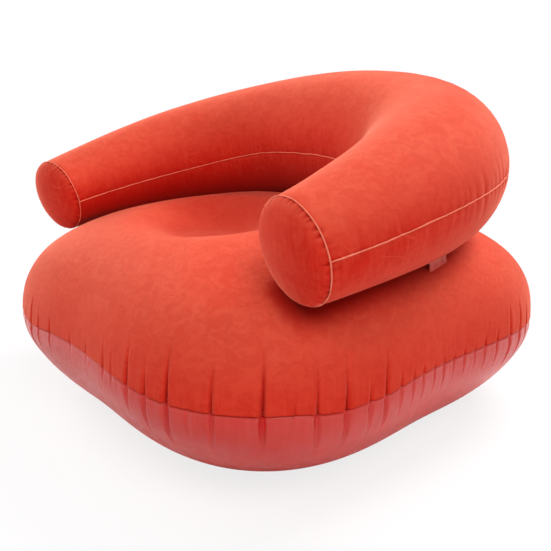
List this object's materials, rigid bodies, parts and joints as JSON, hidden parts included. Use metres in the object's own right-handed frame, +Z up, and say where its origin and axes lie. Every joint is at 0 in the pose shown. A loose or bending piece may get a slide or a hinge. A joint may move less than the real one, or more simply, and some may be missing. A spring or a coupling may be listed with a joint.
{
  "type": "inflatable armchair",
  "caption": "Inflatable armchair: a gathered pillow seat with a dimple, a horseshoe tube for back and arms, and a capped inflation valve on each air chamber.",
  "frame": {"origin": "on the floor, under the middle of the seat", "axes": "+Z up; the chair faces -Y; the sitter's left arm is on +X"},
  "size_m": [1.0558, 0.973, 0.7053],
  "materials": {
    "flocked_vinyl": "matte",
    "smooth_vinyl": "satin",
    "plain_film": "satin",
    "valve_plastic": "satin",
    "flap_rubber": "matte"
  },
  "bodies": {
    "chair": {"seat_top_panel": "flocked_vinyl", "seat_bottom_panel": "smooth_vinyl", "tube_upper_panel": "flocked_vinyl", "tube_lower_panel": "flocked_vinyl", "left_end_cap": "flocked_vinyl", "right_end_cap": "flocked_vinyl", "left_joining_web": "plain_film", "right_joining_web": "plain_film", "rear_joining_web": "plain_film", "tie_column": "plain_film", "tie_top_disc": "plain_film", "tie_bottom_disc": "plain_film", "seat_valve_base": "valve_plastic", "seat_valve_tether": "valve_plastic", "tube_valve_base": "valve_plastic", "tube_valve_tether": "valve_plastic"},
    "seat_insert": {"seat_valve_insert": "valve_plastic"},
    "seat_cap": {"seat_valve_cap": "valve_plastic"},
    "seat_flap": {"seat_valve_flap": "flap_rubber"},
    "tube_insert": {"tube_valve_insert": "valve_plastic"},
    "tube_cap": {"tube_valve_cap": "valve_plastic"},
    "tube_flap": {"tube_valve_flap": "flap_rubber"}
  },
  "joints": [
    {"name": "seat_insert_swing", "type": "hinge", "parent": "chair", "child": "seat_insert", "pos_m": [0, 0.46011, 0.10374], "axis": [1, 0, 0], "range_deg": [0, 110]},
    {"name": "seat_cap_swing", "type": "hinge", "parent": "seat_insert", "child": "seat_cap", "pos_m": [0, 0.44025, 0.07187], "axis": [-1, 0, 0], "range_deg": [0, 120]},
    {"name": "seat_flap_swing", "type": "hinge", "parent": "seat_insert", "child": "seat_flap", "pos_m": [0, 0.44475, 0.10203], "axis": [-1, 0, 0], "range_deg": [0, 40], "stiffness_Nm_per_rad": 0.0015},
    {"name": "tube_insert_swing", "type": "hinge", "parent": "chair", "child": "tube_insert", "pos_m": [0, 0.39758, 0.46888], "axis": [1, 0, 0], "range_deg": [0, 110]},
    {"name": "tube_cap_swing", "type": "hinge", "parent": "tube_insert", "child": "tube_cap", "pos_m": [0, 0.37942, 0.43601], "axis": [-1, 0, 0], "range_deg": [0, 120]},
    {"name": "tube_flap_swing", "type": "hinge", "parent": "tube_insert", "child": "tube_flap", "pos_m": [0, 0.38234, 0.46637], "axis": [-1, 0, 0], "range_deg": [0, 40], "stiffness_Nm_per_rad": 0.0015}
  ]
}
